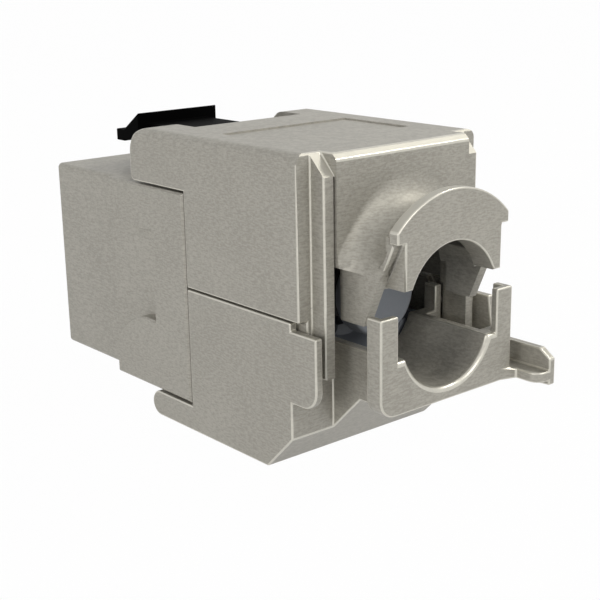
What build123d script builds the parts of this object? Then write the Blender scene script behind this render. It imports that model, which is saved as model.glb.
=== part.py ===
from build123d import *
import os
from math import sqrt

os.makedirs("parts", exist_ok=True)

# Frame: X across the jack, +Y along the cable away from the plug, +Z up.
# The origin is the middle of the flat base that the jack stands on. All sizes are millimetres.

# Casting
body_width = 16.9
body_top = 22.7
base_length = 13.4
wall = 1.15
roof = 1.2
seam_height = 11.3
seam_gap = 0.15
cover_gap = 0.2
edge_break = 0.15

# Nose that enters the panel
nose_width = 14.54
nose_height = 16.0
nose_base = 2.2
nose_front = -22.9
nose_wall = 0.97
front_wall = 1.2
nose_corner = 0.4

# Shoulders on the sides of the nose
shoulder_front = -12.9
shoulder_rear = -2.65
shoulder_top = 18.4
shoulder_web = 4.4
shoulder_arm = 3.45
shoulder_arm_radius = 4.85
shoulder_lobe_top = 7.7
shoulder_lobe_side = 4.6
shoulder_lobe_radius = 5.4

# Plug port
port_width = 11.7
port_height = 6.85
port_floor = 8.15
clip_width = 6.2
clip_depth = 1.5
key_width = 4.0
key_depth = 1.2
port_depth = 13.0

# Hinges and latch
pin_radius = 0.5
running = 0.04
upper_pivot_y = -8.4
upper_pivot_z = 20.5
lower_pivot_y = -6.9
lower_pivot_z = 1.0
knuckle_radius = 0.88
lug_width = 1.5
side_gap = 0.2
latch_pivot_y = -5.95
latch_pivot_z = 20.2
latch_root_radius = 0.75
latch_arm_width = 6.1
latch_head_width = 7.9
latch_arm_top = 21.85
latch_arm_thickness = 0.9
latch_catch_y = -15.0
latch_catch_top = 22.8
latch_ramp_y = -17.3
latch_tip_y = -18.4
latch_tip_top = 21.25
latch_tip_base = 20.3

# Upper cover
ear_front = -9.4
ear_width = 3.25
ear_radius = 2.0
ear_length = 4.2
rear_face = 11.75
rear_bevel = 1.5
rear_corner = 1.35
top_round = 0.7
panel_width = 12.6
panel_rise = 0.15
panel_base = 15.2
panel_bevel = 0.45
crease_width = 0.15
crease_depth = 0.3
tongue_inner = 6.45
tongue_outer = 7.7
tongue_depth = 2.3
tongue_tip = 7.45
label_width = 12.0
label_front = -0.8
label_rear = 6.2
label_depth = 0.12

# Half necks and saddle flanges round the cable
upper_bore = 4.2
upper_axis = 12.5
lower_bore = 4.25
lower_axis = 10.75
neck_outer = 5.5
neck_wall = 0.5
neck_end = 13.9
flare_radius = 2.6
upper_flange_face = 16.55
upper_flange_thickness = 0.86
upper_leg_depth = 1.85
upper_flange_radius = 7.38
upper_flange_axis = 12.88
upper_flange_width = 10.6
upper_flange_base = 17.2
upper_leg_width = 9.2
upper_leg_base = 14.05
lower_flange_face = 16.15
lower_flange_thickness = 1.38
lower_flange_width = 12.8
lower_flange_base = 5.55
lower_flange_corner = 1.3
post_top = 12.4
post_width = 1.6
post_skin = 0.55
notch_floor = 9.28
trough_width = 9.3
saddle_round = 0.4

# Lower cover
floor_thickness = 1.2
slope_height = 2.8
rear_wall = 1.2
rear_opening = 11.2
plate_thickness = 0.62
plate_step_y = 8.5
plate_top = 10.65
plate_rear = 12.7
plate_base = 5.5
far_relief = 0.95
far_relief_top = 4.9
lower_cavity_width = 12.6
tab_rear = 18.55
tab_top = 7.8
tab_base = 5.2
tab_wall = 0.6
tab_inner = 6.6
shelf_top = 6.3
tab_bevel_length = 0.95
tab_bevel_drop = 0.65

# Contacts, board and plastic pieces inside
contact_count = 8
contact_pitch = 1.016
contact_radius = 0.18
contact_height = 15.9
contact_front = -19.4
contact_bend = 0.62
contact_tip_y = -11.6
contact_tip_z = 12.8
contact_tail = 0.5
fit = 0.06
insert_rear = -6.5
comb_width = 0.6
comb_top = 16.35
board_gap = 0.15
board_thickness = 1.0
retainer_thickness = 2.2
block_rear = 5.0
block_height = 4.4
blade_pitch = 3.2
blade_width = 1.5
blade_thickness = 0.4
blade_rise = 2.2
blade_sink = 1.2
blade_slot = 0.3
blade_front_row = 1.2
blade_rear_row = 3.6
leg_width = 0.5
guide_gap = 0.4
guide_play = 0.12
guide_rear = 8.0
guide_corner = 0.4
wire_radius = 0.75
swing_pocket = 2.9
spring_thickness = 0.15
spring_height = 3.0
spring_length = 9.0
spring_bulge = 0.45

# Places that follow from the sizes above
half_body = body_width / 2
half_nose = nose_width / 2
base_rear = base_length / 2
nose_middle = nose_base + nose_height / 2
nose_top = nose_base + nose_height
cover_front = shoulder_rear + cover_gap
inner_half = half_body - wall
seam_under = seam_height - seam_gap / 2
seam_over = seam_height + seam_gap / 2
ear_inner = half_body - ear_width
ear_base = shoulder_top + cover_gap
ear_rear = ear_front + ear_length
lug_outer = ear_inner - side_gap
lug_inner = lug_outer - lug_width
panel_face = rear_face + panel_rise
upper_rear_inner = rear_face - wall
lower_rear = base_rear + slope_height
cavity_width = nose_width - 2 * nose_wall
cavity_height = nose_height - 2 * nose_wall
cavity_front = nose_front + front_wall
cavity_top = nose_top - nose_wall
cavity_base = nose_base + nose_wall
pin_hole = pin_radius + running
board_front = insert_rear + board_gap
board_rear = board_front + board_thickness
block_front = board_rear + board_gap
block_top = seam_height + block_height / 2
block_base = seam_height - block_height / 2
knuckle_inner = lug_outer + side_gap


def side_plane(x):
    """Plane across the jack at x, drawn with Y to the right and Z up."""
    return Plane.YZ.offset(x)


def cross_plane(y):
    """Plane facing the plug at y, drawn with X to the right and Z up."""
    return Plane.XZ.offset(-y)


def level_plane(z):
    """Level plane at z, drawn with X to the right and Y up the page."""
    return Plane.XY.offset(z)


def block(x_range, y_range, z_range, mode=Mode.ADD):
    """Box between limits on each axis."""
    middle = [(low + high) / 2 for low, high in (x_range, y_range, z_range)]
    size = [high - low for low, high in (x_range, y_range, z_range)]
    with Locations(tuple(middle)):
        Box(*size, mode=mode)


def port_outline():
    """Plug port with the step for the plug's clip and the key step under it."""
    with Locations((0, port_floor + port_height / 2)):
        Rectangle(port_width, port_height)
    with Locations((0, port_floor - clip_depth / 2)):
        Rectangle(clip_width, clip_depth)
    with Locations((0, port_floor - clip_depth - key_depth / 2)):
        Rectangle(key_width, key_depth)


# Front housing: one casting with the nose, its shoulders, the hinge lugs and the latch cradle
with BuildPart() as front_housing:
    with BuildSketch(cross_plane(nose_front)):
        with Locations((0, nose_middle)):
            RectangleRounded(nose_width, nose_height, nose_corner)
    extrude(amount=nose_front - shoulder_rear)
    for side in (-1, 1):
        with BuildSketch(side_plane(side * (half_nose - 0.5))):
            with BuildLine():
                arm_start = (shoulder_front, shoulder_top)
                arm_end = (shoulder_rear - shoulder_web, shoulder_top - shoulder_arm)
                lobe_start = (shoulder_rear - shoulder_web, shoulder_lobe_top)
                lobe_end = (shoulder_front, shoulder_lobe_side)
                RadiusArc(arm_start, arm_end, -shoulder_arm_radius)
                Line(arm_end, lobe_start)
                RadiusArc(lobe_start, lobe_end, -shoulder_lobe_radius)
                Polyline(
                    lobe_end,
                    (shoulder_front, nose_base),
                    (shoulder_rear, nose_base),
                    (shoulder_rear, shoulder_top),
                    arm_start,
                )
            make_face()
        extrude(amount=side * (half_body - half_nose + 0.5))
    shoulder_faces = front_housing.faces().filter_by(Plane.YZ).group_by(Axis.X)
    chamfer((shoulder_faces[0] + shoulder_faces[-1]).edges(), edge_break)
    # Hollow for the insert, the board and the contact block, open to the rear
    with BuildSketch(cross_plane(cavity_front)):
        with Locations((0, nose_middle)):
            Rectangle(cavity_width, cavity_height)
    extrude(amount=cavity_front - shoulder_rear, mode=Mode.SUBTRACT)
    chamfer(front_housing.faces().sort_by(Axis.Y)[0].outer_wire().edges(), edge_break)
    with BuildSketch(cross_plane(nose_front)):
        port_outline()
    extrude(amount=-front_wall, mode=Mode.SUBTRACT)
    # Lugs for the upper pins and for the long lower pin
    for side in (-1, 1):
        lug_start = lug_inner if side > 0 else -lug_outer
        with BuildSketch(side_plane(lug_start)):
            with Locations((upper_pivot_y, upper_pivot_z)):
                Circle(knuckle_radius)
            with Locations((upper_pivot_y, (nose_top - 0.3 + upper_pivot_z) / 2)):
                Rectangle(2 * knuckle_radius, upper_pivot_z - nose_top + 0.3)
        extrude(amount=lug_width)
        with BuildSketch(side_plane(lug_start)):
            with Locations((lower_pivot_y, lower_pivot_z)):
                Circle(knuckle_radius)
            with Locations((lower_pivot_y, (nose_base + 0.3 + lower_pivot_z) / 2)):
                Rectangle(2 * knuckle_radius, nose_base + 0.3 - lower_pivot_z)
        extrude(amount=lug_width)
    with BuildSketch(side_plane(0)):
        with Locations((upper_pivot_y, upper_pivot_z), (lower_pivot_y, lower_pivot_z)):
            Circle(pin_radius)
    extrude(amount=half_body, both=True, mode=Mode.SUBTRACT)
    # Cradle that holds the round root of the latch
    with BuildSketch(side_plane(0)):
        cradle_height = latch_pivot_z + 0.4 * latch_root_radius - nose_top + 0.3
        with Locations((latch_pivot_y, nose_top - 0.3 + cradle_height / 2)):
            Rectangle(3.2 * latch_root_radius, cradle_height)
        with Locations((latch_pivot_y, latch_pivot_z)):
            Circle(latch_root_radius + running, mode=Mode.SUBTRACT)
    extrude(amount=latch_arm_width / 2, both=True)
front_housing.part.label = "front_housing"

# Latch: a moulded arm with a ramp and a square catch at its front, turning about its root
with BuildPart() as latch:
    with BuildSketch(side_plane(0)):
        with Locations((latch_pivot_y, latch_pivot_z)):
            Circle(latch_root_radius)
        with BuildLine():
            Polyline(
                (latch_catch_y, latch_arm_top),
                (latch_pivot_y + 0.6 * latch_root_radius, latch_arm_top),
                (latch_pivot_y + 0.6 * latch_root_radius, latch_pivot_z),
                (latch_pivot_y - 0.6 * latch_root_radius, latch_pivot_z),
                (latch_pivot_y - 0.6 * latch_root_radius, latch_arm_top - latch_arm_thickness),
                (latch_catch_y, latch_arm_top - latch_arm_thickness),
                close=True,
            )
        make_face()
    extrude(amount=latch_arm_width / 2, both=True)
    with BuildSketch(side_plane(0)):
        with BuildLine():
            Polyline(
                (latch_tip_y, latch_tip_base),
                (latch_tip_y, latch_tip_top),
                (latch_ramp_y, latch_tip_top),
                (latch_catch_y, latch_catch_top),
                (latch_catch_y, latch_arm_top - latch_arm_thickness),
                (latch_ramp_y, latch_tip_base),
                close=True,
            )
        make_face()
    extrude(amount=latch_head_width / 2, both=True)
latch.part.label = "latch"

# Flared root of the upper half neck, kept inside the width of the rear panel
with BuildPart() as flare:
    with BuildSketch(Plane.YZ):
        with BuildLine():
            flare_top = upper_axis + neck_outer + flare_radius
            flare_rear = rear_face + flare_radius
            RadiusArc((rear_face, flare_top), (flare_rear, upper_axis + neck_outer), -flare_radius)
            Polyline(
                (flare_rear, upper_axis + neck_outer),
                (flare_rear, upper_axis + neck_outer - neck_wall),
                (upper_rear_inner, upper_axis + neck_outer - neck_wall),
                (upper_rear_inner, flare_top),
                (rear_face, flare_top),
            )
        make_face()
    revolve(axis=Axis((0, 0, upper_axis), (0, 1, 0)))
    block(
        (-panel_width / 2, panel_width / 2),
        (upper_rear_inner, flare_rear),
        (panel_base, body_top),
        Mode.INTERSECT,
    )

# Upper cover: roof, sides, ears, rear panel, tongues, half neck and saddle flange in one casting
with BuildPart() as upper_cover:
    # Side profile of the shell, rounded along the top and in plan
    with BuildSketch(Plane.YZ):
        with BuildLine():
            Polyline(
                (ear_front, body_top - ear_radius),
                (ear_front, ear_base + ear_radius / 4),
            )
            RadiusArc(
                (ear_front, ear_base + ear_radius / 4),
                (ear_front + ear_radius / 4, ear_base),
                -ear_radius / 4,
            )
            Polyline(
                (ear_front + ear_radius / 4, ear_base),
                (cover_front, ear_base),
                (cover_front, seam_over),
                (rear_face, seam_over),
                (rear_face, body_top - rear_bevel),
                (rear_face - rear_bevel, body_top),
                (ear_front + ear_radius, body_top),
            )
            RadiusArc(
                (ear_front + ear_radius, body_top),
                (ear_front, body_top - ear_radius),
                -ear_radius,
            )
        make_face()
    extrude(amount=half_body, both=True)
    with BuildSketch(cross_plane(ear_front - 1)):
        with Locations((0, body_top / 2)):
            Rectangle(body_width, body_top)
        fillet(vertices().group_by(Axis.Y)[-1], top_round)
    extrude(amount=-2 * body_top, mode=Mode.INTERSECT)
    with BuildSketch(Plane.XY):
        with Locations((0, (ear_front + rear_face) / 2)):
            Rectangle(body_width, rear_face - ear_front)
        fillet(vertices().group_by(Axis.Y)[-1], rear_corner)
    extrude(amount=2 * body_top, mode=Mode.INTERSECT)
    add(flare.part)
    # Hollow, and the notch between the ears over the latch
    block(
        (-inner_half, inner_half),
        (ear_rear, upper_rear_inner),
        (0, body_top - roof),
        Mode.SUBTRACT,
    )
    block((-ear_inner, ear_inner), (ear_front - 1, ear_rear), (0, body_top + 1), Mode.SUBTRACT)
    # Raised rear panel with its top bevel, and the open slot for the neck below it
    half_panel = panel_width / 2
    with BuildSketch(side_plane(-half_panel)):
        with BuildLine():
            Polyline(
                (upper_rear_inner, panel_base),
                (panel_face, panel_base),
                (panel_face, body_top - panel_bevel),
                (panel_face - panel_bevel, body_top),
                (upper_rear_inner - rear_bevel, body_top),
                (upper_rear_inner - rear_bevel, body_top - roof),
                (upper_rear_inner, body_top - roof),
                close=True,
            )
        make_face()
    extrude(amount=panel_width)
    half_slot = half_panel + crease_width
    block(
        (-half_slot, half_slot),
        (upper_rear_inner, rear_face + 1),
        (seam_over, panel_base),
        Mode.SUBTRACT,
    )
    for side in (-1, 1):
        crease = sorted((side * half_panel, side * half_slot))
        block(
            crease,
            (rear_face - crease_depth, panel_face),
            (panel_base, body_top - rear_bevel),
            Mode.SUBTRACT,
        )
    # Tongues that drop inside the plates of the lower cover
    for side in (-1, 1):
        span = sorted((side * tongue_inner, side * tongue_outer))
        block(span, (rear_face - tongue_depth, rear_face), (tongue_tip, seam_over + wall))
    # Half neck, open underneath, with its end cut back below the flange
    with BuildSketch(cross_plane(upper_rear_inner)):
        with Locations((0, upper_axis)):
            Circle(neck_outer)
        with Locations((0, (seam_height + upper_axis) / 2)):
            Rectangle(2 * neck_outer, upper_axis - seam_height)
        with Locations((0, seam_height / 2 - neck_outer)):
            Rectangle(4 * neck_outer, seam_height + 2 * neck_outer, mode=Mode.SUBTRACT)
    extrude(amount=upper_rear_inner - upper_flange_face + upper_flange_thickness)
    with BuildSketch(Plane.YZ):
        with BuildLine():
            Polyline(
                (neck_end, 0),
                (neck_end, seam_height),
                (upper_flange_face - upper_flange_thickness, upper_flange_base),
                (upper_flange_face + 1, upper_flange_base),
                (upper_flange_face + 1, 0),
                close=True,
            )
        make_face()
    extrude(amount=half_body, both=True, mode=Mode.SUBTRACT)
    # Saddle flange: wide arc above, narrow legs below
    with BuildSketch(cross_plane(upper_flange_face)):
        with Locations((0, upper_flange_axis)):
            Circle(upper_flange_radius)
        with Locations((0, upper_flange_base + upper_flange_radius / 2)):
            Rectangle(upper_flange_width, upper_flange_radius, mode=Mode.INTERSECT)
    extrude(amount=upper_flange_thickness)
    with BuildSketch(cross_plane(upper_flange_face)):
        with Locations((0, (upper_leg_base + upper_flange_base) / 2 + 0.1)):
            Rectangle(upper_leg_width, upper_flange_base - upper_leg_base + 0.2)
    extrude(amount=upper_leg_depth)
    # Bore of the neck and of the saddle
    with BuildSketch(cross_plane(upper_flange_face + 1)):
        with Locations((0, upper_axis)):
            Circle(upper_bore)
        with Locations((0, upper_axis / 2)):
            Rectangle(2 * upper_bore, upper_axis)
    extrude(amount=upper_leg_depth + 2, mode=Mode.SUBTRACT)
    with BuildSketch(cross_plane(upper_rear_inner - rear_bevel)):
        with Locations((0, upper_axis)):
            Circle(neck_outer - neck_wall)
        with Locations((0, upper_axis / 2)):
            Rectangle(2 * (neck_outer - neck_wall), upper_axis)
    extrude(
        amount=upper_rear_inner - rear_bevel - upper_flange_face + upper_leg_depth,
        mode=Mode.SUBTRACT,
    )
    # Shallow field for a label
    block(
        (-label_width / 2, label_width / 2),
        (label_front, label_rear),
        (body_top - label_depth, body_top + 1),
        Mode.SUBTRACT,
    )
    # Blind holes for the hinge pins in the ears
    with BuildSketch(side_plane(0)):
        with Locations((upper_pivot_y, upper_pivot_z)):
            Circle(pin_hole)
    extrude(amount=half_body - wall / 2, both=True, mode=Mode.SUBTRACT)
upper_cover.part.label = "upper_cover"

# Lower cover: tray, plates, half neck with its posts and the thumb tab in one casting
with BuildPart() as lower_cover:
    # Tray
    with BuildSketch(Plane.YZ):
        with BuildLine():
            Polyline(
                (lower_pivot_y, 0),
                (base_rear, 0),
                (lower_rear, slope_height),
                (lower_rear, seam_under),
                (cover_front, seam_under),
                (cover_front, 2 * lower_pivot_z),
                (lower_pivot_y, 2 * lower_pivot_z),
            )
            RadiusArc(
                (lower_pivot_y, 2 * lower_pivot_z),
                (lower_pivot_y, 0),
                -lower_pivot_z,
            )
        make_face()
    extrude(amount=half_body, both=True)
    # Hollow of the tray, with the slope of the underside kept at one thickness
    with BuildSketch(Plane.YZ):
        with BuildLine():
            slope_inner = base_rear - wall * sqrt(2)
            Polyline(
                (cover_front - 1, floor_thickness),
                (slope_inner + floor_thickness, floor_thickness),
                (lower_rear - rear_wall, lower_rear - rear_wall - slope_inner),
                (lower_rear - rear_wall, seam_height),
                (cover_front - 1, seam_height),
                close=True,
            )
        make_face()
    extrude(amount=lower_cavity_width / 2, both=True, mode=Mode.SUBTRACT)
    block(
        (-inner_half, inner_half),
        (cover_front - 1, lower_rear - rear_wall),
        (far_relief_top + wall / 2, seam_height),
        Mode.SUBTRACT,
    )
    # Room for the tongues of the upper cover along the whole swing of the tray
    tongue_reach = rear_face - tongue_depth - cover_gap - lower_pivot_y
    swing_radius = sqrt(tongue_reach**2 + (tongue_tip - lower_pivot_z) ** 2)
    room_depth = 3 * tongue_depth
    for side in (-1, 1):
        room_inner = tongue_inner - side_gap
        room_outer = half_body - plate_thickness
        with BuildSketch(side_plane(side * room_inner)):
            with Locations((rear_face, tongue_tip - cover_gap)):
                Rectangle(room_depth, seam_height, align=(Align.MAX, Align.MIN))
            with Locations((lower_pivot_y, lower_pivot_z)):
                Circle(swing_radius - cover_gap, mode=Mode.SUBTRACT)
        extrude(amount=side * (room_outer - room_inner), mode=Mode.SUBTRACT)
    # Opening of the rear wall above the trough
    block(
        (-rear_opening / 2, rear_opening / 2),
        (lower_rear - rear_wall - 1, lower_rear + 1),
        (notch_floor, seam_height),
        Mode.SUBTRACT,
    )
    # The far side is cut back below the plate
    block(
        (-half_body - 1, -half_body + far_relief),
        (lower_pivot_y - 2, lower_rear + 1),
        (-1, far_relief_top),
        Mode.SUBTRACT,
    )
    # Half neck: the underside rises at the slope of the tray and then runs level to the flange
    with BuildSketch(Plane.YZ):
        with BuildLine():
            Polyline(
                (lower_rear - rear_wall, slope_height),
                (lower_rear, slope_height),
                (base_rear + lower_flange_base, lower_flange_base),
                (lower_flange_face - lower_flange_thickness, lower_flange_base),
                (lower_flange_face - lower_flange_thickness, notch_floor),
                (lower_rear - rear_wall, notch_floor),
                close=True,
            )
        make_face()
    extrude(amount=trough_width / 2, both=True)
    # Saddle flange with a post on each side
    with BuildSketch(cross_plane(lower_flange_face)):
        with BuildLine():
            half_flange = lower_flange_width / 2
            Polyline(
                (-half_flange, lower_flange_base),
                (-half_flange, post_top),
                (-half_flange + post_width, post_top),
                (-half_flange + post_width, notch_floor),
                (half_flange - post_width, notch_floor),
                (half_flange - post_width, post_top),
                (half_flange, post_top),
                (half_flange, lower_flange_base),
                close=True,
            )
        flange_face = make_face()
        fillet(flange_face.vertices().group_by(Axis.Y)[0].sort_by(Axis.X)[-1], lower_flange_corner)
    extrude(amount=lower_flange_thickness)
    for side in (-1, 1):
        hollow = sorted((side * (half_flange - post_width), side * (half_flange - post_skin)))
        block(
            hollow,
            (lower_flange_face - lower_flange_thickness, lower_flange_face - post_skin),
            (notch_floor, post_top),
            Mode.SUBTRACT,
        )
    # Trough for the cable
    with BuildSketch(cross_plane(lower_flange_face + 1)):
        with Locations((0, lower_axis)):
            Circle(lower_bore)
        with Locations((0, lower_axis + lower_bore)):
            Rectangle(2 * lower_bore, 2 * lower_bore)
    extrude(amount=lower_flange_face + 1 - lower_rear + rear_wall + 1, mode=Mode.SUBTRACT)
    # Plates that carry on from the sides over the tongues
    with BuildSketch(side_plane(half_body - plate_thickness)) as plate_sketch:
        with BuildLine():
            Polyline(
                (plate_step_y - 2, seam_under),
                (plate_step_y, seam_under),
                (plate_step_y, plate_top),
                (plate_rear, plate_top),
                (plate_rear, plate_base),
                (plate_step_y - 2, plate_base),
                close=True,
            )
        plate_face = make_face()
        rear_corners = plate_face.vertices().group_by(Axis.X)[-1].sort_by(Axis.Y)
        fillet(rear_corners[0], 1.4)
        fillet(rear_corners[-1], 0.5)
    extrude(amount=plate_thickness)
    with BuildSketch(side_plane(-half_body)):
        with BuildLine():
            Polyline(
                (plate_step_y - 2, seam_under),
                (plate_step_y, seam_under),
                (plate_step_y, plate_top),
                (plate_rear, plate_top),
                (plate_rear + 0.4, tab_top),
                (tab_rear - tab_bevel_length, tab_top),
                (tab_rear, tab_top - tab_bevel_drop),
                (tab_rear, tab_base),
                (plate_rear, far_relief_top),
                (plate_step_y - 2, far_relief_top),
                close=True,
            )
        make_face()
    extrude(amount=tab_wall)
    # Thumb shelf between the flange and the end of the tab, hollowed towards its wall
    with BuildSketch(level_plane(lower_flange_base)):
        with BuildLine():
            Polyline(
                (-half_body, lower_flange_face - lower_flange_thickness),
                (-half_flange + 1, lower_flange_face - lower_flange_thickness),
                (-half_flange + 1, lower_flange_face),
                (-tab_inner, lower_flange_face + 0.4),
                (-tab_inner, tab_rear),
                (-half_body, tab_rear),
                close=True,
            )
        shelf_face = make_face()
        shelf_corner = shelf_face.vertices().group_by(Axis.Y)[-1].sort_by(Axis.X)[-1]
        fillet(shelf_corner, 0.9)
    extrude(amount=shelf_top - lower_flange_base)
    # Room for the lugs of the front housing, and the hole for the long pin
    for side in (-1, 1):
        room = sorted((side * (lug_inner - side_gap), side * knuckle_inner))
        block(
            room,
            (lower_pivot_y - 2, lower_pivot_y + knuckle_radius + 0.35),
            (-1, 3 * lower_pivot_z),
            Mode.SUBTRACT,
        )
    with BuildSketch(side_plane(0)):
        with Locations((lower_pivot_y, lower_pivot_z)):
            Circle(pin_hole)
    extrude(amount=half_body - far_relief - wall / 2, both=True, mode=Mode.SUBTRACT)
lower_cover.part.label = "lower_cover"

# Hinge pins
pin_length = half_body - wall / 2 - running - lug_inner
for name, side in (("upper_pin_right", 1), ("upper_pin_left", -1)):
    with BuildPart() as upper_pin:
        with BuildSketch(side_plane(side * lug_inner)):
            with Locations((upper_pivot_y, upper_pivot_z)):
                Circle(pin_radius)
        extrude(amount=side * pin_length)
    upper_pin.part.label = name
    export_step(upper_pin.part, f"parts/{name}.step")

with BuildPart() as lower_pin:
    with BuildSketch(side_plane(0)):
        with Locations((lower_pivot_y, lower_pivot_z)):
            Circle(pin_radius)
    extrude(amount=half_body - far_relief - wall / 2 - running, both=True)
lower_pin.part.label = "lower_pin"

# Port insert: moulded liner of the nose with a comb for the contacts and windows for the springs
insert_width = cavity_width - 2 * fit
insert_height = cavity_height - 2 * fit
with BuildPart() as port_insert:
    with BuildSketch(cross_plane(cavity_front + fit)):
        with Locations((0, nose_middle)):
            Rectangle(insert_width, insert_height)
    extrude(amount=cavity_front + fit - insert_rear)
    with BuildSketch(cross_plane(cavity_front)):
        port_outline()
    extrude(amount=-port_depth, mode=Mode.SUBTRACT)
    comb_base = port_floor + port_height
    with BuildSketch(cross_plane(cavity_front + 1)):
        with GridLocations(contact_pitch, 1, contact_count, 1):
            with Locations((0, (comb_base + comb_top) / 2 - 0.5)):
                Rectangle(comb_width, comb_top - comb_base + 1)
    extrude(amount=cavity_front + 1 - insert_rear, mode=Mode.SUBTRACT)
    window_middle = (cavity_front + port_depth + nose_front) / 2
    with Locations((0, window_middle, port_floor + port_height / 2)):
        Box(insert_width + 1, spring_length + 4 * fit, spring_height + 4 * fit, mode=Mode.SUBTRACT)
port_insert.part.label = "port_insert"

# Ground springs: bowed strips in the side windows that touch the shield of a plug
for name, side in (("ground_spring_right", 1), ("ground_spring_left", -1)):
    with BuildPart() as ground_spring:
        with BuildSketch(level_plane(port_floor + (port_height - spring_height) / 2)):
            with BuildLine():
                outer_x = side * (cavity_width / 2 - fit)
                inner_x = outer_x - side * spring_thickness
                crest = outer_x - side * (spring_bulge + spring_thickness)
                start_y = window_middle - spring_length / 2
                end_y = window_middle + spring_length / 2
                ThreePointArc(
                    (outer_x, start_y),
                    (crest + side * spring_thickness, window_middle),
                    (outer_x, end_y),
                )
                Line((outer_x, end_y), (inner_x, end_y))
                ThreePointArc((inner_x, end_y), (crest, window_middle), (inner_x, start_y))
                Line((inner_x, start_y), (outer_x, start_y))
            make_face()
        extrude(amount=spring_height)
    ground_spring.part.label = name
    export_step(ground_spring.part, f"parts/{name}.step")

# Plug contacts: wires that run forward over the port, bend back and slope down into it
contact_start = board_rear + contact_tail
for index in range(contact_count):
    contact_x = (index - (contact_count - 1) / 2) * contact_pitch
    with BuildPart() as plug_contact:
        with BuildLine(side_plane(contact_x)) as contact_path:
            FilletPolyline(
                (contact_start, contact_height),
                (contact_front, contact_height),
                (contact_front + contact_bend, contact_height - 2 * contact_bend),
                (contact_tip_y, contact_tip_z),
                radius=contact_bend / 2,
            )
        with BuildSketch(Plane(origin=contact_path.line @ 0, z_dir=contact_path.line % 0)):
            Rectangle(2 * contact_radius, 2 * contact_radius)
        sweep(path=contact_path.line)
    name = f"plug_contact_{index + 1}"
    plug_contact.part.label = name
    export_step(plug_contact.part, f"parts/{name}.step")

# Wire blades: upright forks in two rows above and below the block, with a leg to the board
blade_places = []
for column in range(4):
    blade_x = (column - 1.5) * blade_pitch
    blade_y = blade_front_row if column % 2 == 0 else blade_rear_row
    blade_places.append((blade_x, blade_y))
leg_height = block_height / 2 - blade_sink
for row, row_sign in (("upper", 1), ("lower", -1)):
    for column, (blade_x, blade_y) in enumerate(blade_places):
        root_z = seam_height + row_sign * leg_height
        tip_z = seam_height + row_sign * (block_height / 2 + blade_rise)
        with BuildPart() as wire_blade:
            blade_span = sorted((root_z, tip_z))
            block(
                (blade_x - blade_width / 2, blade_x + blade_width / 2),
                (blade_y, blade_y + blade_thickness),
                blade_span,
            )
            slot_span = sorted((tip_z, tip_z - row_sign * blade_rise))
            block(
                (blade_x - blade_slot / 2, blade_x + blade_slot / 2),
                (blade_y - 1, blade_y + 1),
                slot_span,
                Mode.SUBTRACT,
            )
            tip_edges = wire_blade.edges().filter_by(Axis.Y).filter_by_position(
                Axis.Z, tip_z - 0.01, tip_z + 0.01
            )
            chamfer(tip_edges, blade_slot / 2)
            leg_span = sorted((root_z, root_z + row_sign * leg_width))
            block(
                (blade_x - leg_width / 2, blade_x + leg_width / 2),
                (board_front - board_gap + fit, blade_y + blade_thickness / 2),
                leg_span,
            )
        name = f"{row}_wire_blade_{column + 1}"
        wire_blade.part.label = name
        export_step(wire_blade.part, f"parts/{name}.step")

# Circuit board, upright between the insert and the block, drilled for the tails and slotted for the legs
hole_radius = contact_radius * sqrt(2) + fit / 2
leg_hole = leg_width + 2 * fit
with BuildPart() as circuit_board:
    with BuildSketch(cross_plane(board_front)):
        with Locations((0, nose_middle)):
            Rectangle(insert_width, insert_height)
        with GridLocations(contact_pitch, 1, contact_count, 1):
            with Locations((0, contact_height)):
                Circle(hole_radius, mode=Mode.SUBTRACT)
        for row_sign in (-1, 1):
            leg_middle = seam_height + row_sign * (leg_height + leg_width / 2)
            for blade_x, blade_y in blade_places:
                with Locations((blade_x, leg_middle)):
                    Rectangle(leg_hole, leg_hole, mode=Mode.SUBTRACT)
    extrude(amount=-board_thickness)
circuit_board.part.label = "circuit_board"

# Retainer plate: closes the nose behind the board, with a pocket over the contact tails
with BuildPart() as retainer_plate:
    block(
        (-insert_width / 2, insert_width / 2),
        (block_front, block_front + retainer_thickness),
        (cavity_base + fit, cavity_top - fit),
    )
    block(
        (-contact_pitch * contact_count / 2, contact_pitch * contact_count / 2),
        (block_front - 1, block_front + 2 * contact_tail),
        (contact_height - 2 * contact_radius - fit, contact_height + 2 * contact_radius + fit),
        Mode.SUBTRACT,
    )
    for row_sign in (-1, 1):
        low = seam_height + row_sign * (leg_height - fit)
        high = seam_height + row_sign * (leg_height + leg_width + fit)
        for blade_x, blade_y in blade_places:
            block(
                (blade_x - leg_width / 2 - fit, blade_x + leg_width / 2 + fit),
                (block_front - 1, block_front + retainer_thickness + 1),
                sorted((low, high)),
                Mode.SUBTRACT,
            )
retainer_plate.part.label = "retainer_plate"

# Contact block: moulded slab between the covers that holds the wire blades in two rows
with BuildPart() as contact_block:
    block(
        (-insert_width / 2, insert_width / 2),
        (block_front + retainer_thickness, block_rear),
        (block_base, block_top),
    )
    for row_sign in (-1, 1):
        root_z = seam_height + row_sign * (leg_height - fit)
        for blade_x, blade_y in blade_places:
            block(
                (blade_x - blade_width / 2 - fit, blade_x + blade_width / 2 + fit),
                (blade_y - fit, blade_y + blade_thickness + fit),
                sorted((root_z, seam_height + row_sign * block_height)),
                Mode.SUBTRACT,
            )
            block(
                (blade_x - leg_width / 2 - fit, blade_x + leg_width / 2 + fit),
                (block_front, blade_y + blade_thickness / 2),
                sorted((root_z, seam_height + row_sign * (leg_height + leg_width + fit))),
                Mode.SUBTRACT,
            )
contact_block.part.label = "contact_block"

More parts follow.
